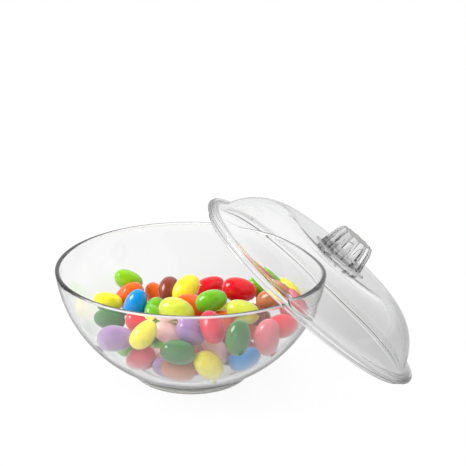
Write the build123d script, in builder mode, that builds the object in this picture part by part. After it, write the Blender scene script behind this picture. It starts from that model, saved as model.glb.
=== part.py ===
from build123d import *
import os
from math import acos, asin, cos, degrees, hypot, pi, radians, sin, sqrt

import numpy as np

# A clear glass candy jar: a round bowl on a low foot, a domed lid with a fluted knob, and the
# jelly beans in the bowl. The lid stands off the bowl, leaning on its rim, with its lip on the table.
# Millimetres, Z up. The origin is the middle of the foot on the table, and the lid leans towards +X.

# Bowl
rim_radius = 75.0
bowl_height = 66.0
rim_wall = 2.4
base_glass = 3.2
wall_thickening = 0.8
foot_radius = 34.0
foot_height = 6.0
foot_edge_width = 11.0
foot_edge_height = 5.0

# Lid, measured from the underside of its lip
lid_overhang = 0.0
lid_glass = 2.6
lip_thickness = 4.0
dish_radius = 450.0
shoulder_radius = 34.5
flare_radius = 7.2
steepest_slope = 64.3
ring_depth = 2.5
ring_wall = 2.6
ring_clearance = 0.8
seat_radius = 15.4
seat_rise = 0.8

# How the lid leans
lid_stand_off = 48.0
lean_clearance = 0.3
upright_angle = 80.0

# Knob
collar_radius = 14.4
collar_height = 0.9
waist_radius = 12.8
waist_height = 0.5
drum_base_radius = 13.9
drum_top_radius = 11.9
drum_height = 10.8
crown_top_radius = 10.4
crown_bevel_height = 1.7
flute_count = 12
flute_radius = 8.0
flute_depth = 0.9

# Jelly beans
bean_length = 18.8
bean_girth = 13.0
bean_tip_radius = 5.1
bean_sides = 10
bean_section_facings = (158, 132, 110, 90, 70, 48, 22)
bean_gap = 0.12
heap_top = 42.0

os.makedirs("parts", exist_ok=True)

# Bowl: a spherical outside and a spherical hollow with a flat bottom, the hollow's middle a little
# higher so that the wall thickens downwards, with a fire-rounded rim and a thick rounded foot
rim_z = bowl_height - rim_wall / 2
rim_middle_radius = rim_radius - rim_wall / 2
mouth_radius = rim_radius - rim_wall
outside_z = (rim_radius**2 + rim_z**2 - foot_radius**2 - foot_height**2) / (2 * (rim_z - foot_height))
outside_radius = hypot(rim_radius, rim_z - outside_z)
hollow_z = outside_z + wall_thickening
hollow_radius = hypot(mouth_radius, rim_z - hollow_z)
hollow_floor_radius = sqrt(hollow_radius**2 - (hollow_z - base_glass) ** 2)
foot_rest_radius = foot_radius - foot_edge_width

with BuildPart() as bowl:
    with BuildSketch(Plane.XZ):
        with BuildLine():
            Line((0, base_glass), (hollow_floor_radius, base_glass))
            RadiusArc((hollow_floor_radius, base_glass), (mouth_radius, rim_z), -hollow_radius)
            ThreePointArc((mouth_radius, rim_z), (rim_middle_radius, bowl_height), (rim_radius, rim_z))
            RadiusArc((rim_radius, rim_z), (foot_radius, foot_height), outside_radius)
            Line((foot_radius, foot_height), (foot_radius, foot_edge_height))
            EllipticalCenterArc(
                (foot_rest_radius, foot_edge_height), foot_edge_width, foot_edge_height, 270, arc_size=90
            )
            Polyline((foot_rest_radius, 0), (0, 0), (0, base_glass))
        make_face()
    revolve(axis=Axis.Z)
bowl.part.label = "bowl"
export_step(bowl.part, "parts/bowl.step")

# The lid's outside: a slightly dished crown, a round shoulder and a flare that runs out into the lip.
# The three arcs meet tangent, so the dish's half angle follows from the lid's size.
lid_radius = rim_radius + lid_overhang
lip_round = lip_thickness / 2
flare_end_radius = lid_radius - lip_round
slope = radians(steepest_slope)
dish_angle = asin(
    (flare_end_radius - (shoulder_radius + flare_radius) * sin(slope)) / (dish_radius + shoulder_radius)
)
flare_start = (flare_end_radius - flare_radius * sin(slope), lip_thickness + flare_radius * (1 - cos(slope)))
shoulder_centre = (
    flare_start[0] - shoulder_radius * sin(slope),
    flare_start[1] - shoulder_radius * cos(slope),
)
shoulder_start = (
    shoulder_centre[0] - shoulder_radius * sin(dish_angle),
    shoulder_centre[1] + shoulder_radius * cos(dish_angle),
)
lid_top = shoulder_start[1] - dish_radius * (1 - cos(dish_angle))
inner_shoulder_radius = shoulder_radius - lid_glass
inner_shoulder_start = (
    shoulder_centre[0] - inner_shoulder_radius * sin(dish_angle),
    shoulder_centre[1] + inner_shoulder_radius * cos(dish_angle),
)
inner_shoulder_end = (
    shoulder_centre[0] + inner_shoulder_radius * sin(slope),
    shoulder_centre[1] + inner_shoulder_radius * cos(slope),
)
inner_top = lid_top - lid_glass
seat_top = lid_top + seat_rise

# The locating ring hangs from the lip, inside the bowl's mouth when the lid is on
ring_outer_radius = mouth_radius - ring_clearance
ring_middle_radius = ring_outer_radius - ring_wall / 2
ring_inner_radius = ring_outer_radius - ring_wall
ring_round_z = ring_wall / 2 - ring_depth
rim_samples = 721


def lid_middle(tilt):
    """Where the middle of the lip's underside is when the lip or the ring stands on the table."""
    reach = lid_radius - lip_round
    table_x = rim_radius + lid_stand_off
    on_lip = lip_round + reach * sin(tilt) - lip_round * cos(tilt)
    on_ring = ring_wall / 2 + ring_middle_radius * sin(tilt) - ring_round_z * cos(tilt)
    return table_x - reach * cos(tilt) - lip_round * sin(tilt), max(on_lip, on_ring)


def ring_to_rim(tilt):
    """The least gap between the locating ring's round edge and the bowl's round rim."""
    middle_x, middle_z = lid_middle(tilt)
    turn = np.linspace(0, pi, rim_samples)
    along = np.column_stack([
        rim_middle_radius * np.cos(turn) - middle_x,
        rim_middle_radius * np.sin(turn),
        np.full(turn.size, rim_z - middle_z),
    ])
    height = along @ np.array([sin(tilt), 0, cos(tilt)])
    spread = np.sqrt((along**2).sum(axis=1) - height**2)
    gaps = np.hypot(spread - ring_middle_radius, height - ring_round_z)
    return gaps.min() - rim_wall / 2 - ring_wall / 2


# The lid is let down from upright until its ring is a clearance away from the rim
coarse_step = radians(1)
halvings = 30
upright, fallen = radians(upright_angle), radians(upright_angle)
while ring_to_rim(fallen) > lean_clearance:
    fallen -= coarse_step
for halving in range(halvings):
    half_way = (upright + fallen) / 2
    if ring_to_rim(half_way) > lean_clearance:
        upright = half_way
    else:
        fallen = half_way
lean = upright
lid_x, lid_z = lid_middle(lean)
lid_axis = Axis((lid_x, 0, lid_z), (sin(lean), 0, cos(lean)))
lid_section = Plane(origin=(lid_x, 0, lid_z), x_dir=(cos(lean), 0, -sin(lean)), z_dir=(0, -1, 0))
lid_base = Plane(
    origin=(lid_x, 0, lid_z), x_dir=(cos(lean), 0, -sin(lean)), z_dir=(sin(lean), 0, cos(lean))
)

with BuildPart() as lid:
    with BuildSketch(lid_section):
        with BuildLine():
            RadiusArc((0, lid_top), shoulder_start, -dish_radius)
            RadiusArc(shoulder_start, flare_start, shoulder_radius)
            RadiusArc(flare_start, (flare_end_radius, lip_thickness), -flare_radius)
            ThreePointArc(
                (flare_end_radius, lip_thickness), (lid_radius, lip_round), (flare_end_radius, 0)
            )
            Polyline((flare_end_radius, 0), (ring_outer_radius, 0), (ring_outer_radius, ring_round_z))
            ThreePointArc(
                (ring_outer_radius, ring_round_z),
                (ring_middle_radius, -ring_depth),
                (ring_inner_radius, ring_round_z),
            )
            Line((ring_inner_radius, ring_round_z), inner_shoulder_end)
            RadiusArc(inner_shoulder_end, inner_shoulder_start, -inner_shoulder_radius)
            RadiusArc(inner_shoulder_start, (0, inner_top), dish_radius + lid_glass)
            Line((0, inner_top), (0, lid_top))
        make_face()
    revolve(axis=lid_axis)
    # A low round seat on the crown carries the knob
    with BuildSketch(lid_base.offset(inner_top + lid_glass / 2)):
        Circle(seat_radius)
    extrude(amount=seat_top - inner_top - lid_glass / 2)
lid.part.label = "lid"
export_step(lid.part, "parts/lid.step")

# Knob: a fluted drum with a bevelled crown, cut first, then the waist and collar under it
collar_top = seat_top + collar_height
drum_bottom = collar_top + waist_height
drum_top = drum_bottom + drum_height
knob_top = drum_top + crown_bevel_height
taper = degrees(asin((drum_base_radius - drum_top_radius) / drum_height))
drum_middle_radius = (drum_base_radius + drum_top_radius) / 2
drum_middle = (drum_bottom + drum_top) / 2

with BuildPart(lid_base.offset(drum_middle)) as knob:
    with BuildSketch(lid_section):
        Polygon(
            (0, drum_bottom),
            (drum_base_radius, drum_bottom),
            (drum_top_radius, drum_top),
            (crown_top_radius, knob_top),
            (0, knob_top),
            align=None,
        )
    revolve(axis=lid_axis)
    with PolarLocations(drum_middle_radius + flute_radius - flute_depth, flute_count):
        Cylinder(flute_radius, 4 * drum_height, rotation=(0, -taper, 0), mode=Mode.SUBTRACT)
    with BuildSketch(lid_base.offset(collar_top)):
        Circle(waist_radius)
    extrude(amount=waist_height)
    with BuildSketch(lid_base.offset(seat_top)):
        Circle(collar_radius)
    extrude(amount=collar_height)
knob.part.label = "knob"
export_step(knob.part, "parts/knob.step")

# Jelly bean: an oval turned from two tip arcs and a side arc, cut to flats so that a heap stays light
core_half = bean_length / 2 - bean_tip_radius
waist_half = bean_girth / 2
side_radius = (core_half**2 + waist_half**2 - bean_tip_radius**2) / (2 * (waist_half - bean_tip_radius))
tip_end_angle = degrees(acos(core_half / (side_radius - bean_tip_radius)))


def oval_point(normal_angle):
    """Place along the axis and radius where the oval's surface faces normal_angle from the axis."""
    facing = radians(min(normal_angle, 180 - normal_angle))
    side = 1 if normal_angle < 90 else -1
    if degrees(facing) < tip_end_angle:
        return side * (core_half + bean_tip_radius * cos(facing)), bean_tip_radius * sin(facing)
    return side * side_radius * cos(facing), side_radius * sin(facing) - side_radius + waist_half


with BuildPart() as bean:
    for normal_angle in bean_section_facings:
        along_axis, radius = oval_point(normal_angle)
        with BuildSketch(Plane.YZ.offset(along_axis)):
            RegularPolygon(radius, bean_sides)
    loft(ruled=True)

# The beans that show, each as seen from the front, look_turn to the left of it and look_down above
# level, relative to a point look_height up the bowl's axis: colour, across, up, turn of its length
# (falling to the right is positive), size, and how far it lies behind the heap's surface
look_down = radians(22.7)
look_turn = radians(4.7)
look_height = 33.3
shown_beans = [
    ("lime", -37, 23, 25, 0.92, 0),
    ("orange", -36, 14, -20, 1.0, 3),
    ("yellow", -48, 10, 10, 0.9, 0),
    ("blue", -31, 8, -50, 1.0, -2),
    ("orange", -21, 14, 10, 0.9, 7),
    ("brown", -13, 17, 80, 0.92, 2),
    ("yellow", -3, 17, 95, 1.05, -1),
    ("red", 11, 19, -30, 1.0, 4),
    ("red", 28, 17, 22, 1.1, 1),
    ("green", 11, 10, -10, 0.95, -1),
    ("green", -21, 5, 0, 0.85, 7),
    ("pear", -8, 4, 18, 1.08, -2),
    ("pear", 28, 4, 0, 1.0, -2),
    ("green", 41, 18, 20, 0.95, 4),
    ("yellow", 55, 16, 25, 1.0, 0),
    ("caramel", 45, 11, -25, 0.98, 0),
    ("pink", 56, 6, 60, 1.0, 2),
    ("red", 49, -4, 20, 1.0, 2),
    ("pink", 40, -9, 80, 1.03, 0),
    ("forest", 24, -9, 90, 0.98, 0),
    ("rose", 11, -4, 70, 1.0, 9),
    ("lilac", 0, -7, 10, 1.0, -1),
    ("blush", -12, -7, 0, 0.95, 6),
    ("yellow", -25, -8, -50, 0.92, 0),
    ("lilac", -40, -10, -20, 1.05, 0),
    ("forest", -47, -1, 5, 1.0, 0),
    ("rose", -27, -20, -60, 0.9, -1),
    ("forest", -7, -17, 8, 1.0, 2),
    ("caramel", -7, -27, -15, 1.0, -1),
    ("yellow", 9, -24, 85, 1.05, -2),
    ("blush", 13, -17, 50, 0.95, 12),
    ("blue", 29, -22, -35, 0.97, -1),
    ("green", -20, 0, 15, 0.9, 7),
    ("red", -28, -3, 0, 0.9, 13),
    ("orange", 0, 8, 30, 0.95, 8),
    ("orange", 17, -1, 20, 0.95, 7),
    ("brown", 37, 2, 25, 0.95, 6),
]

# The beans under and behind them, in rounds: height, spread and how far back
hidden_rounds = [(12, 14, 2), (22, 30, 2), (32, 36, 4)]
hidden_counts = [5, 10, 13]
hidden_colours = ["orange", "green", "red", "yellow", "rose", "pear", "lilac", "brown", "forest", "blush"]
hidden_sizes = [1.0, 0.94, 1.04]

level_back = np.array([sin(look_turn), cos(look_turn), 0.0])
look_across = np.array([cos(look_turn), -sin(look_turn), 0.0])
look_up = sin(look_down) * level_back + np.array([0.0, 0.0, cos(look_down)])
look_back = cos(look_down) * level_back - np.array([0.0, 0.0, sin(look_down)])


def shown_place(across, up, size, behind):
    """On the near wall of the hollow, or on the heap's top where the wall there is higher."""
    start = np.array([0, 0, look_height]) + across * look_across + up * look_up
    from_middle = start - np.array([0, 0, hollow_z])
    wall_reach = hollow_radius - size * waist_half - bean_gap
    towards = from_middle @ look_back
    room = max(towards**2 - from_middle @ from_middle + wall_reach**2, 0)
    on_wall = start - (towards + sqrt(room)) * look_back
    on_top = start + (look_height + up * cos(look_down) - heap_top) / sin(look_down) * look_back
    nearest = on_wall if on_wall[2] < heap_top else on_top
    return nearest + behind * look_back


colours, places, pointing, sizes = [], [], [], []
for colour, across, up, turn, size, behind in shown_beans:
    colours.append(colour)
    places.append(shown_place(across, up, size, behind))
    pointing.append(cos(radians(turn)) * look_across - sin(radians(turn)) * look_up)
    sizes.append(size)
golden_angle = pi * (3 - sqrt(5))
for (height, spread, back), count in zip(hidden_rounds, hidden_counts):
    for index in range(count):
        angle = index * golden_angle
        radius = spread * sqrt((index + 0.5) / count)
        colours.append(hidden_colours[len(colours) % len(hidden_colours)])
        places.append(np.array([radius * cos(angle), radius * sin(angle), height]) + back * level_back)
        pointing.append(np.array([cos(2 * angle), sin(2 * angle), 0]))
        sizes.append(hidden_sizes[index % len(hidden_sizes)])
places, pointing, sizes = np.array(places), np.array(pointing), np.array(sizes)


def settle(places, pointing, sizes, held):
    """Let the beans sink until they lie on the glass and on each other.

    A bean is the balls that fit inside it along its axis. Where balls of two beans overlap, or one
    reaches into the glass, the beans move and turn apart. The held ones stay near their places as
    seen from the front while the others fill in below. Then each bean that no chain of touches
    carries from the glass moves until one does, a held one straight away from the eye, and at last
    they only part.
    """
    ball_count = 5
    stations = core_half * np.linspace(-1, 1, ball_count)
    balls = side_radius - np.sqrt((side_radius - waist_half) ** 2 + stations**2)
    along = sizes[:, None] * stations
    radii = sizes[:, None] * balls
    wanted = places.copy()
    hold_steps, fall_steps, firm_steps = 300, 600, 60
    sink, fall, hold, ease = 0.06, 0.12, 0.15, 0.35
    near, longest_chain = 0.1, 12
    steps_between_lists, listed_reach = 10, 1.3 * bean_length
    loose = np.zeros(len(places), dtype=bool)
    for step in range(hold_steps + fall_steps + firm_steps):
        if step < hold_steps:
            places[~held, 2] -= sink
            away = (wanted - places) * held[:, None]
            places += hold * (away - np.outer(away @ look_back, look_back))
        elif step < hold_steps + fall_steps:
            places[loose & ~held, 2] -= fall
            places[loose & held] += fall * look_back
        if step % steps_between_lists == 0:
            apart = np.linalg.norm(places[:, None] - places, axis=2)
            one, other = np.nonzero(np.triu(apart < listed_reach, 1))
        centres = places[:, None] + along[:, :, None] * pointing[:, None]
        moves = np.zeros_like(centres)
        touching = np.zeros((len(places), len(places)), dtype=bool)
        between = centres[one][:, :, None] - centres[other][:, None]
        distance = np.linalg.norm(between, axis=3) + 1e-9
        overlap = radii[one][:, :, None] + radii[other][:, None] + bean_gap - distance
        touching[one, other] = (overlap > -near).any(axis=(1, 2))
        touching |= touching.T
        push = between * (np.clip(overlap, 0, None) / distance / 2)[..., None]
        np.add.at(moves, one, push.sum(axis=2))
        np.add.at(moves, other, -push.sum(axis=1))
        from_middle = centres - np.array([0, 0, hollow_z])
        reach = np.linalg.norm(from_middle, axis=2)
        into_glass = reach + radii + bean_gap - hollow_radius
        into_floor = base_glass + radii + bean_gap - centres[..., 2]
        moves -= from_middle * (np.clip(into_glass, 0, None) / reach)[..., None]
        moves[..., 2] += np.clip(into_floor, 0, None)
        carried = (np.maximum(into_glass, into_floor) > -near).any(axis=1)
        for link in range(longest_chain):
            carried |= touching @ carried
        loose = ~carried
        places += ease * moves.sum(axis=1)
        pointing += ease * (moves * along[:, :, None]).sum(axis=1) / (along**2).sum(axis=1)[:, None]
        pointing /= np.linalg.norm(pointing, axis=1)[:, None]
    return places, pointing


held = np.arange(len(colours)) < len(shown_beans)
places, pointing = settle(places, pointing, sizes, held)

for colour in sorted(set(colours)):
    of_colour = [index for index, name in enumerate(colours) if name == colour]
    with BuildPart() as beans:
        for index in of_colour:
            sideways = np.cross(pointing[index], look_back)
            seat = Plane(origin=tuple(places[index]), x_dir=tuple(pointing[index]), z_dir=tuple(sideways))
            add(seat * scale(bean.part, by=sizes[index], mode=Mode.PRIVATE))
    beans.part.label = f"beans_{colour}"
    export_step(beans.part, f"parts/beans_{colour}.step")
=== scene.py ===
from math import acos, asin, cos, hypot, pi, radians, sin, sqrt

import bmesh
import bpy
import numpy as np
from mathutils import Matrix, Vector


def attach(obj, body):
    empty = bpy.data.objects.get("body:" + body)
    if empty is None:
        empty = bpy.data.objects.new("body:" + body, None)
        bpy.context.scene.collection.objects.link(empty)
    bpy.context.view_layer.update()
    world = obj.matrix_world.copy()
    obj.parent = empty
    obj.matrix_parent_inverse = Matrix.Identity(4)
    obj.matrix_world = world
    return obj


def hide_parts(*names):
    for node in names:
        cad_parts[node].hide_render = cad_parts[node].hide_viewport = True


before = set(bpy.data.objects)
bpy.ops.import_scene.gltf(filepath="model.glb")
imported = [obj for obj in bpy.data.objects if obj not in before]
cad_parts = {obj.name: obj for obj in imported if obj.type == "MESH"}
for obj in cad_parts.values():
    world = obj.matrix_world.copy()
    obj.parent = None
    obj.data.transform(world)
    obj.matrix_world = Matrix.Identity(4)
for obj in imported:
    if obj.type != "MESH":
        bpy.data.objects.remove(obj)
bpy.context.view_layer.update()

# Camera
# A long lens looks down at the jar from the front, a little to the left, so that the lid leans
# away to the right. look_point is the place on the bowl's axis that the lens is aimed at.
photo_width = 466
sensor_width = 36.0
focal_length_in_pixels = 1337.5
look_point = Vector((0.0, 0.0, 0.035))
look_point_in_photo = (191.2, 316.5)
look_distance = 0.75
look_elevation = radians(22.6)
look_turn = radians(4.7)

camera_data = bpy.data.cameras.new("camera")
camera_data.sensor_width = sensor_width
camera_data.lens = focal_length_in_pixels / photo_width * sensor_width
camera_data.shift_x = (photo_width / 2 - look_point_in_photo[0]) / photo_width
camera_data.shift_y = (look_point_in_photo[1] - photo_width / 2) / photo_width
camera_data.clip_start = 0.05
camera_data.clip_end = 20.0
camera = bpy.data.objects.new("camera", camera_data)
bpy.context.scene.collection.objects.link(camera)
towards_camera = Vector((
    -sin(look_turn) * cos(look_elevation),
    -cos(look_turn) * cos(look_elevation),
    sin(look_elevation),
))
camera.location = look_point + look_distance * towards_camera
camera.rotation_euler = (pi / 2 - look_elevation, 0.0, -look_turn)
bpy.context.scene.camera = camera

# Bowl
# A clear soda-lime glass bowl, pressed in a mould and fire-polished, so that its rim is round and
# its walls are a little wavy. It stands on a thick round foot of the same glass.
rim_radius = 0.075
bowl_height = 0.066
rim_wall = 0.0024
base_glass = 0.0032
wall_thickening = 0.0008
foot_radius = 0.034
foot_height = 0.006
foot_edge_width = 0.011
foot_edge_height = 0.005
turns_round = 288
merge_distance = 1e-6
glass_tint = "#F4F6F6"


def cleared_tree(owner):
    """The empty node tree of a material or a world."""
    owner.use_nodes = True
    owner.node_tree.nodes.clear()
    return owner.node_tree


def add_node(tree, kind, settings=None, values=None, links=None):
    """Add a node with its settings, its inputs' values and the sockets that feed them.

    An input is given by its name, or by its number where two have the same name.
    """
    node = tree.nodes.new(kind)
    for name, value in (settings or {}).items():
        setattr(node, name, value)
    for name, value in (values or {}).items():
        node.inputs[name].default_value = value
    for name, source in (links or {}).items():
        tree.links.new(source, node.inputs[name])
    return node


def linear(hex_colour):
    """The linear colour of an sRGB hex value, with full alpha."""
    parts = [int(hex_colour[start:start + 2], 16) / 255 for start in (1, 3, 5)]
    light = [part / 12.92 if part <= 0.04045 else ((part + 0.055) / 1.055) ** 2.4 for part in parts]
    return (*light, 1.0)


def arc(centre, radius, start, end, steps, squash=1.0):
    """Points of an arc in a profile of radius and height, from one angle to another."""
    angles = np.linspace(start, end, steps + 1)
    return [(centre[0] + radius * cos(angle), centre[1] + squash * radius * sin(angle)) for angle in angles]


def angle_of(point, centre):
    """The angle at which a point of the profile lies round a centre."""
    return float(np.arctan2(point[1] - centre[1], point[0] - centre[0]))


def turned(name, profile, steps, place=Matrix.Identity(4)):
    """A closed piece of revolution, spun from its profile round the upright axis and then placed."""
    form = bmesh.new()
    corners = [form.verts.new((radius, 0.0, height)) for radius, height in profile]
    edges = [form.edges.new(pair) for pair in zip(corners, corners[1:])]
    bmesh.ops.spin(
        form, geom=corners + edges, cent=(0, 0, 0), axis=(0, 0, 1), angle=2 * pi, steps=steps, use_merge=True
    )
    bmesh.ops.remove_doubles(form, verts=form.verts, dist=merge_distance)
    bmesh.ops.recalc_face_normals(form, faces=form.faces)
    bmesh.ops.transform(form, matrix=place, verts=form.verts)
    return piece_from(form, name)


def piece_from(form, name):
    """An object with smooth faces from a bmesh, linked to the scene."""
    mesh = bpy.data.meshes.new(name)
    form.to_mesh(mesh)
    form.free()
    mesh.shade_smooth()
    piece = bpy.data.objects.new(name, mesh)
    bpy.context.scene.collection.objects.link(piece)
    return piece


def pressed_glass(name, wave_width, wave_height, clearness=1.0, edge_tint_and_shade=glass_tint, edge_start=0.6):
    """Pressed and fire-polished soda-lime glass.

    It is clear, and its surface waves a little, which bends what is seen through it. Where the eye
    looks along it, it takes on its edge colour: a faint tint of the glass where that colour is pale, and
    painted shade where it is dark. What is short of full clearness is a fine white haze. Light from
    lamps passes straight through.
    """
    edge_fade = 0.3
    material = bpy.data.materials.new(name)
    tree = cleared_tree(material)
    place = add_node(tree, "ShaderNodeTexCoord")
    waves = add_node(
        tree,
        "ShaderNodeTexNoise",
        values={"Scale": 1 / wave_width, "Detail": 1.0},
        links={"Vector": place.outputs["Object"]},
    )
    bump = add_node(
        tree,
        "ShaderNodeBump",
        values={"Strength": 1.0, "Distance": wave_height},
        links={"Height": waves.outputs["Fac"]},
    )
    edge = add_node(tree, "ShaderNodeLayerWeight", values={"Blend": 0.5})
    tint = add_node(tree, "ShaderNodeValToRGB", links={"Fac": edge.outputs["Facing"]})
    tint.color_ramp.elements[0].color = linear("#FFFFFF")
    tint.color_ramp.elements[0].position = edge_start
    tint.color_ramp.elements[1].color = linear(edge_tint_and_shade)
    tint.color_ramp.elements[1].position = edge_start + edge_fade
    glass = add_node(
        tree,
        "ShaderNodeBsdfPrincipled",
        values={"Roughness": 0.0, "IOR": 1.5, "Transmission Weight": clearness},
        links={"Base Color": tint.outputs["Color"], "Normal": bump.outputs["Normal"]},
    )
    lamp_ray = add_node(tree, "ShaderNodeLightPath")
    clear = add_node(tree, "ShaderNodeBsdfTransparent", values={"Color": linear(glass_tint)})
    mix = add_node(
        tree,
        "ShaderNodeMixShader",
        links={0: lamp_ray.outputs["Is Shadow Ray"], 1: glass.outputs["BSDF"], 2: clear.outputs["BSDF"]},
    )
    add_node(tree, "ShaderNodeOutputMaterial", links={"Surface": mix.outputs["Shader"]})
    return material


rim_height = bowl_height - rim_wall / 2
rim_middle = (rim_radius - rim_wall / 2, rim_height)
mouth_radius = rim_radius - rim_wall
outside_height = (rim_radius**2 + rim_height**2 - foot_radius**2 - foot_height**2) / (
    2 * (rim_height - foot_height)
)
outside_centre = (0.0, outside_height)
outside_radius = hypot(rim_radius, rim_height - outside_height)
hollow_centre = (0.0, outside_height + wall_thickening)
hollow_radius = hypot(mouth_radius, rim_height - hollow_centre[1])
hollow_floor = (sqrt(hollow_radius**2 - (hollow_centre[1] - base_glass) ** 2), base_glass)
foot_edge_middle = (foot_radius - foot_edge_width, foot_edge_height)
foot_edge_squash = foot_edge_height / foot_edge_width

bowl_profile = (
    [(0.0, base_glass)]
    + arc(
        hollow_centre,
        hollow_radius,
        angle_of(hollow_floor, hollow_centre),
        angle_of((mouth_radius, rim_height), hollow_centre),
        steps=48,
    )
    + arc(rim_middle, rim_wall / 2, pi, 0.0, steps=12)[1:]
    + arc(
        outside_centre,
        outside_radius,
        angle_of((rim_radius, rim_height), outside_centre),
        angle_of((foot_radius, foot_height), outside_centre),
        steps=40,
    )[1:]
    + arc(foot_edge_middle, foot_edge_width, 0.0, -pi / 2, steps=14, squash=foot_edge_squash)
    + [(0.0, 0.0)]
)
bowl = turned("glass_bowl", bowl_profile, turns_round)
wall_glass = pressed_glass(
    "pressed_soda_lime_glass_bowl", wave_width=0.030, wave_height=0.00008, clearness=0.98
)

# The rim is rounded in a flame. Its edges are painted near black where the eye looks along them, as
# shade for the light they bend away, and a pale haze is painted where it faces the eye, for the
# light that is led up the wall into the rim.
rim_glass = pressed_glass(
    "fire_polished_glass_rim", wave_width=0.012, wave_height=0.00004, edge_tint_and_shade="#141616", edge_start=0.35
)
tree = rim_glass.node_tree
rim_edge = add_node(tree, "ShaderNodeLayerWeight", values={"Blend": 0.5})
# The haze is painted light: clearness drops to half where the rim faces the eye, so its white shows.
painted_pale_haze = add_node(
    tree,
    "ShaderNodeMapRange",
    values={"From Min": 0.1, "From Max": 0.45, "To Min": 0.5, "To Max": 1.0},
    links={"Value": rim_edge.outputs["Facing"]},
)
tree.links.new(painted_pale_haze.outputs["Result"], tree.nodes["Principled BSDF"].inputs["Transmission Weight"])

# The outside of the foot is ground, which leaves it a little white.
foot_glass = pressed_glass("ground_glass_foot", wave_width=0.030, wave_height=0.00008, clearness=0.72)

for finish in (wall_glass, rim_glass, foot_glass):
    bowl.data.materials.append(finish)
rim_slot = bowl.data.materials.find(rim_glass.name)
foot_slot = bowl.data.materials.find(foot_glass.name)
for face in bowl.data.polygons:
    if face.center.z > rim_height:
        face.material_index = rim_slot
    elif face.center.z < foot_height and face.normal.z < 0:
        face.material_index = foot_slot
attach(bowl, "bowl")
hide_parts("bowl")

# Jelly beans
# Soft starch centres in a hard sugar shell, tumbled in a pan and polished with confectioner's
# glaze. Each comes out of a kidney-shaped mould a little different, and they lie as they fell.
bean_length = 0.0188
bean_girth = 0.0130
length_in_flats = 0.01806
bean_rings = 18
bean_sides = 28
blunt_ends = 0.86
most_taper = 0.12
most_bend = 0.0008
least_share_of_bend = 0.2
pole_width = 1e-6
blotch_width = 0.004
blotch_shade = 0.85
dimple_width = 0.002
dimple_depth = 0.00006
shell_colours = {
    "blue": "#0092E0",
    "blush": "#EFC0C0",
    "brown": "#8C3C28",
    "caramel": "#C87D50",
    "forest": "#3C7837",
    "green": "#74BE1E",
    "lilac": "#A57DB4",
    "lime": "#8CC80A",
    "orange": "#F06414",
    "pear": "#D2DC46",
    "pink": "#DC6E78",
    "red": "#E60A1C",
    "rose": "#D72D46",
    "yellow": "#FFF034",
}
chance = np.random.default_rng(seed=11)


def bean_places(node):
    """The middle, direction and size of each bean in a node of the frame, where beans are cut to flats."""
    form = bmesh.new()
    form.from_mesh(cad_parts[node].data)
    bmesh.ops.remove_doubles(form, verts=form.verts, dist=merge_distance)
    form.verts.ensure_lookup_table()
    found, seen = [], set()
    for first in form.verts:
        if first.index in seen:
            continue
        seen.add(first.index)
        waiting, together = [first], []
        while waiting:
            corner = waiting.pop()
            together.append(corner.co[:])
            for edge in corner.link_edges:
                other = edge.other_vert(corner)
                if other.index not in seen:
                    seen.add(other.index)
                    waiting.append(other)
        points = np.array(sorted(together))
        middle = (points.max(axis=0) + points.min(axis=0)) / 2
        spread = np.linalg.eigh(np.cov((points - points.mean(axis=0)).T))
        along = spread.eigenvectors[:, -1]
        along *= np.sign(along[np.argmax(np.abs(along))])
        reach = (points - middle) @ along
        size = (reach.max() - reach.min()) / length_in_flats
        found.append((Vector(points.mean(axis=0)), Vector(along), size))
    form.free()
    return found


def add_bean(form, middle, along, size):
    """One bean: a ball drawn out to a blunt oval, tapered and bent, laid where the frame has it.

    A third is the mean of z squared over the ball, so the bend leaves the bean's middle in place.
    """
    taper = chance.uniform(-most_taper, most_taper)
    bend = chance.uniform(least_share_of_bend, 1.0) * most_bend
    roll = chance.uniform(0.0, 2 * pi)
    ball = bmesh.ops.create_uvsphere(form, u_segments=bean_sides, v_segments=bean_rings, radius=1.0)
    for corner in ball["verts"]:
        across = hypot(corner.co.x, corner.co.y)
        blunt = across ** (blunt_ends - 1) if across > pole_width else 0.0
        widen = blunt * (1 + taper * corner.co.z) * bean_girth / 2
        lift = bend * (1 / 3 - corner.co.z**2)
        corner.co = (corner.co.x * widen + lift, corner.co.y * widen, corner.co.z * bean_length / 2)
    turn = along.to_track_quat("Z", "Y").to_matrix().to_4x4()
    place = Matrix.Translation(middle) @ turn @ Matrix.Rotation(roll, 4, "Z") @ Matrix.Scale(size, 4)
    bmesh.ops.transform(form, matrix=place, verts=ball["verts"])


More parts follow.
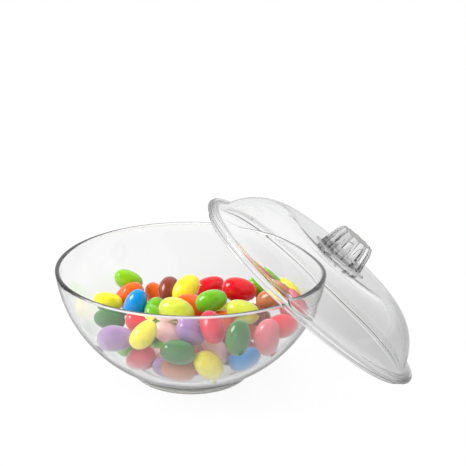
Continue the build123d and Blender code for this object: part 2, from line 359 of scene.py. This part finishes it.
def sugar_shell(name, colour):
    """Panned sugar shell under confectioner's glaze.

    The colour sits in the sugar, a shade deeper in soft blotches, and light goes a little way in.
    The glaze is a thin clear coat that mirrors lamps, over faint dimples from the tumbling.
    """
    material = bpy.data.materials.new(name)
    tree = cleared_tree(material)
    full = linear(colour)
    deep = (*(part * blotch_shade for part in full[:3]), 1.0)
    place = add_node(tree, "ShaderNodeTexCoord")
    blotches = add_node(
        tree,
        "ShaderNodeTexNoise",
        values={"Scale": 1 / blotch_width, "Detail": 3.0},
        links={"Vector": place.outputs["Object"]},
    )
    tint = add_node(tree, "ShaderNodeValToRGB", links={"Fac": blotches.outputs["Fac"]})
    tint.color_ramp.elements[0].color = deep
    tint.color_ramp.elements[0].position = 0.3
    tint.color_ramp.elements[1].color = full
    tint.color_ramp.elements[1].position = 0.55
    dimples = add_node(
        tree,
        "ShaderNodeTexNoise",
        values={"Scale": 1 / dimple_width, "Detail": 2.0},
        links={"Vector": place.outputs["Object"]},
    )
    bump = add_node(
        tree,
        "ShaderNodeBump",
        values={"Strength": 0.6, "Distance": dimple_depth},
        links={"Height": dimples.outputs["Fac"]},
    )
    shell = add_node(
        tree,
        "ShaderNodeBsdfPrincipled",
        values={
            "Roughness": 0.4,
            "IOR": 1.5,
            "Specular IOR Level": 0.15,
            "Subsurface Weight": 0.12,
            "Subsurface Radius": (1.0, 0.6, 0.4),
            "Subsurface Scale": 0.0015,
            "Coat Weight": 1.0,
            "Coat Roughness": 0.05,
        },
        links={"Base Color": tint.outputs["Color"], "Normal": bump.outputs["Normal"]},
    )
    add_node(tree, "ShaderNodeOutputMaterial", links={"Surface": shell.outputs["BSDF"]})
    return material


for shade, hex_colour in shell_colours.items():
    form = bmesh.new()
    for middle, along, size in bean_places(f"beans_{shade}"):
        add_bean(form, middle, along, size)
    heap = piece_from(form, f"jelly_beans_{shade}")
    heap.data.materials.append(sugar_shell(f"sugar_shell_{shade}", hex_colour))
    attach(heap, "bowl")
    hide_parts(f"beans_{shade}")

# Lid
# A domed lid of the same pressed glass. Its flared lip is as wide as the bowl's rim, and a ring
# under the lip keeps it in the bowl's mouth. It stands on the table and leans on the rim, with
# lid_middle as the middle of its open side.
lid_glass = 0.0026
lip_thickness = 0.004
dish_radius = 0.450
shoulder_radius = 0.0345
flare_radius = 0.0072
steepest_slope = radians(64.3)
ring_depth = 0.0025
ring_wall = 0.0026
ring_clearance = 0.0008
seat_radius = 0.0154
seat_rise = 0.0008
edge_round = 0.0004
lid_lean = radians(40.22678)
lid_middle = Vector((0.0659733, 0.0, 0.0477461))

lip_round = lip_thickness / 2
lip_reach = rim_radius - lip_round
dish_angle = asin(
    (lip_reach - (shoulder_radius + flare_radius) * sin(steepest_slope)) / (dish_radius + shoulder_radius)
)
flare_centre = (lip_reach, lip_thickness + flare_radius)
flare_start = (
    lip_reach - flare_radius * sin(steepest_slope),
    lip_thickness + flare_radius * (1 - cos(steepest_slope)),
)
shoulder_centre = (
    flare_start[0] - shoulder_radius * sin(steepest_slope),
    flare_start[1] - shoulder_radius * cos(steepest_slope),
)
shoulder_start_angle = pi / 2 + dish_angle
shoulder_end_angle = pi / 2 - steepest_slope
dish_centre = (
    0.0,
    shoulder_centre[1] + (dish_radius + shoulder_radius) * cos(dish_angle),
)
lid_top = dish_centre[1] - dish_radius
seat_start_angle = -acos(seat_radius / dish_radius)
seat_top = lid_top + seat_rise
ring_outer_radius = mouth_radius - ring_clearance
ring_middle = (ring_outer_radius - ring_wall / 2, ring_wall / 2 - ring_depth)
inner_flare_radius = flare_radius + lid_glass
inner_flare_start = acos((lip_reach - ring_outer_radius + ring_wall) / inner_flare_radius)

lid_profile = (
    [(0.0, seat_top), (seat_radius - edge_round, seat_top)]
    + arc((seat_radius - edge_round, seat_top - edge_round), edge_round, pi / 2, 0.0, steps=4)[1:]
    + arc(dish_centre, dish_radius, seat_start_angle, dish_angle - pi / 2, steps=8)
    + arc(shoulder_centre, shoulder_radius, shoulder_start_angle, shoulder_end_angle, steps=24)[1:]
    + arc(flare_centre, flare_radius, pi + shoulder_end_angle, 3 * pi / 2, steps=20)[1:]
    + arc((lip_reach, lip_round), lip_round, pi / 2, -pi / 2, steps=20)[1:]
    + arc((ring_outer_radius + edge_round, -edge_round), edge_round, pi / 2, pi, steps=3)
    + arc(ring_middle, ring_wall / 2, 0.0, -pi, steps=16)
    + arc(flare_centre, inner_flare_radius, pi + inner_flare_start, pi + shoulder_end_angle, steps=14)
    + arc(shoulder_centre, shoulder_radius - lid_glass, shoulder_end_angle, shoulder_start_angle, steps=24)
    + arc(dish_centre, dish_radius + lid_glass, dish_angle - pi / 2, -pi / 2, steps=12)[1:]
)
lid_place = Matrix.Translation(lid_middle) @ Matrix.Rotation(lid_lean, 4, "Y")
lid = turned("glass_lid", lid_profile, turns_round, lid_place)
lid.data.materials.append(pressed_glass("pressed_soda_lime_glass_lid", wave_width=0.022, wave_height=0.00007))
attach(lid, "lid")
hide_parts("lid")

# Knob
# A solid glass knob, pressed in a mould with twelve hollow flutes and a bevelled crown. A low
# round collar is fused a hair's breadth into the seat in the middle of the lid.
collar_radius = 0.0144
collar_height = 0.0004
drum_base_radius = 0.0142
drum_top_radius = 0.0122
drum_height = 0.0098
crown_top_radius = 0.0104
crown_bevel_height = 0.0037
flute_count = 12
flute_radius = 0.011
flute_depth = 0.00105
steps_in_flute = 6
fused_depth = 0.00005
crease_angle = radians(25)

drum_middle_radius = (drum_base_radius + drum_top_radius) / 2
flute_centre = drum_middle_radius + flute_radius - flute_depth


def fluted(radius):
    """A ring of points at a drum radius, hollowed by the flutes, with a ridge between each two."""
    middle = flute_centre + (radius - drum_middle_radius)
    half = acos((radius**2 + middle**2 - flute_radius**2) / (2 * radius * middle))
    ring = []
    for flute in range(flute_count):
        for step in range(steps_in_flute + 1):
            angle = half * (2 * step / steps_in_flute - 1)
            reach = middle * cos(angle) - sqrt(flute_radius**2 - (middle * sin(angle)) ** 2)
            ring.append((reach, 2 * pi * flute / flute_count + angle))
    return ring


def lay_ring(form, ring, height):
    """A closed ring of corners and edges at a height."""
    corners = [form.verts.new((reach * cos(angle), reach * sin(angle), height)) for reach, angle in ring]
    return [form.edges.new(pair) for pair in zip(corners, corners[1:] + corners[:1])]


drum_bottom = seat_top + collar_height
drum_top = drum_bottom + drum_height
knob_top = drum_top + crown_bevel_height
round_angles = [angle for reach, angle in fluted(drum_middle_radius)]

form = bmesh.new()
rings = [
    lay_ring(form, [(collar_radius, angle) for angle in round_angles], seat_top - fused_depth),
    lay_ring(form, [(collar_radius, angle) for angle in round_angles], drum_bottom),
    lay_ring(form, fluted(drum_base_radius), drum_bottom),
    lay_ring(form, fluted(drum_top_radius), drum_top),
    lay_ring(form, fluted(crown_top_radius), knob_top),
]
for lower, upper in zip(rings, rings[1:]):
    bmesh.ops.bridge_loops(form, edges=lower + upper)
bmesh.ops.contextual_create(form, geom=rings[0])
bmesh.ops.contextual_create(form, geom=rings[-1])
bmesh.ops.recalc_face_normals(form, faces=form.faces)
bmesh.ops.transform(form, matrix=lid_place, verts=form.verts)
knob = piece_from(form, "glass_knob")
knob.data.set_sharp_from_angle(angle=crease_angle)
# The knob's grey edge colour is painted shade, where the eye looks along its faces.
knob.data.materials.append(
    pressed_glass(
        "pressed_soda_lime_glass_knob",
        wave_width=0.010,
        wave_height=0.00001,
        edge_tint_and_shade="#808484",
        edge_start=0.5,
    )
)
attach(knob, "lid")
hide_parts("knob")

# Studio
# A white table that runs back into white, with three soft boxes over it. What the glass mirrors is
# dark to the left and in front, which draws its edges. What shows through the glass is white, and
# greys to the right of the jar in a painted shade, where less light would fall.
table_reach = 3.0
table_drop = 0.0003
plain_level = 0.65
jar_spot = (0.0, 0.0, 0.0)
mirrored_dark_spot = (-0.50, -0.05, 0.0)
refracted_painted_shade_spot = (0.30, 0.02, 0.0)
mirrored_white_side = (0.50, 0.80, 0.30)
refracted_white_side = (0.20, 0.90, 0.30)


def fade(tree, kind, spot, dark_end, white_end, darkest, whitest=1.0):
    """A smooth step from darkest to whitest, by DISTANCE from a spot or DOT_PRODUCT with a direction."""
    where = add_node(tree, "ShaderNodeTexCoord")
    measure = add_node(
        tree,
        "ShaderNodeVectorMath",
        {"operation": kind},
        {1: spot},
        {0: where.outputs["Object" if kind == "DISTANCE" else "Generated"]},
    )
    step = add_node(
        tree,
        "ShaderNodeMapRange",
        {"interpolation_type": "SMOOTHSTEP"},
        {"From Min": dark_end, "From Max": white_end, "To Min": darkest, "To Max": whitest},
        {"Value": measure.outputs["Value"]},
    )
    return step.outputs["Result"]


def seen_white(tree, mirrored, refracted):
    """How white a surface is to the eye and in glass, and whether either sees it directly."""
    rays = add_node(tree, "ShaderNodeLightPath")
    in_glass = add_node(
        tree,
        "ShaderNodeMix",
        links={"Factor": rays.outputs["Is Transmission Ray"], "A": mirrored, "B": refracted},
    )
    white = add_node(
        tree,
        "ShaderNodeMix",
        values={"B": 1.0},
        links={"Factor": rays.outputs["Is Camera Ray"], "A": in_glass.outputs["Result"]},
    )
    sharp = add_node(
        tree,
        "ShaderNodeMath",
        {"operation": "MAXIMUM"},
        links={0: rays.outputs["Is Camera Ray"], 1: rays.outputs["Is Glossy Ray"]},
    )
    direct = add_node(
        tree,
        "ShaderNodeMath",
        {"operation": "SUBTRACT", "use_clamp": True},
        links={0: sharp.outputs["Value"], 1: rays.outputs["Diffuse Depth"]},
    )
    return white.outputs["Result"], direct.outputs["Value"]


form = bmesh.new()
bmesh.ops.create_grid(form, x_segments=1, y_segments=1, size=table_reach)
bmesh.ops.translate(form, verts=form.verts, vec=(0.0, 0.0, -table_drop))
table = piece_from(form, "white_table")
laminate = bpy.data.materials.new("matt_white_laminate")
tree = cleared_tree(laminate)
# Seen through glass, the table carries a painted shade that greys it to the right of the jar.
strength, direct = seen_white(
    tree,
    fade(tree, "DISTANCE", mirrored_dark_spot, dark_end=0.28, white_end=0.45, darkest=0.03, whitest=0.70),
    fade(tree, "DISTANCE", refracted_painted_shade_spot, dark_end=0.08, white_end=0.36, darkest=0.34, whitest=0.93),
)

# Near the jar a small share of the table's own matt white is left, which keeps the jar's shadow.
glowing = fade(tree, "DISTANCE", jar_spot, dark_end=0.30, white_end=1.20, darkest=0.93)
share = add_node(tree, "ShaderNodeMath", {"operation": "MULTIPLY"}, links={0: direct, 1: glowing})
matt = add_node(tree, "ShaderNodeBsdfDiffuse", values={"Color": linear("#F2F2F2")})
bright = add_node(
    tree, "ShaderNodeEmission", values={"Color": linear("#FFFFFF")}, links={"Strength": strength}
)
mix = add_node(
    tree,
    "ShaderNodeMixShader",
    links={0: share.outputs["Value"], 1: matt.outputs["BSDF"], 2: bright.outputs["Emission"]},
)
add_node(tree, "ShaderNodeOutputMaterial", links={"Surface": mix.outputs["Shader"]})
table.data.materials.append(laminate)

world = bpy.data.worlds.new("studio_room")
tree = cleared_tree(world)
strength, direct = seen_white(
    tree,
    fade(tree, "DOT_PRODUCT", mirrored_white_side, dark_end=0.20, white_end=0.75, darkest=0.03),
    fade(
        tree, "DOT_PRODUCT", refracted_white_side, dark_end=-0.40, white_end=0.10, darkest=0.65, whitest=0.90
    ),
)
room = add_node(
    tree, "ShaderNodeBackground", values={"Color": linear("#FFFFFF"), "Strength": plain_level}
)
backdrop = add_node(
    tree, "ShaderNodeBackground", values={"Color": linear("#FFFFFF")}, links={"Strength": strength}
)
mix = add_node(
    tree,
    "ShaderNodeMixShader",
    links={0: direct, 1: room.outputs["Background"], 2: backdrop.outputs["Background"]},
)
add_node(tree, "ShaderNodeOutputWorld", links={"Surface": mix.outputs["Shader"]})
bpy.context.scene.world = world


def soft_box(name, place, side, watts, mirrored):
    """A square flat lamp that faces the jar and doesn't show through glass.

    One that isn't mirrored gives light but no highlight.
    """
    lamp = bpy.data.lights.new(name, "AREA")
    lamp.shape = "SQUARE"
    lamp.size = side
    lamp.energy = watts
    stand = bpy.data.objects.new(name, lamp)
    stand.location = place
    stand.rotation_euler = (look_point - Vector(place)).to_track_quat("-Z", "Y").to_euler()
    stand.visible_glossy = mirrored
    stand.visible_transmission = False
    bpy.context.scene.collection.objects.link(stand)


soft_box("soft_box_left", place=(-0.95, 0.10, 0.75), side=0.55, watts=9.5, mirrored=True)
soft_box("soft_box_front", place=(-0.45, -0.65, 0.80), side=0.60, watts=3.4, mirrored=False)
soft_box("soft_box_top", place=(0.25, 0.30, 1.30), side=0.60, watts=7.0, mirrored=False)

bpy.context.scene.view_settings.view_transform = "Standard"
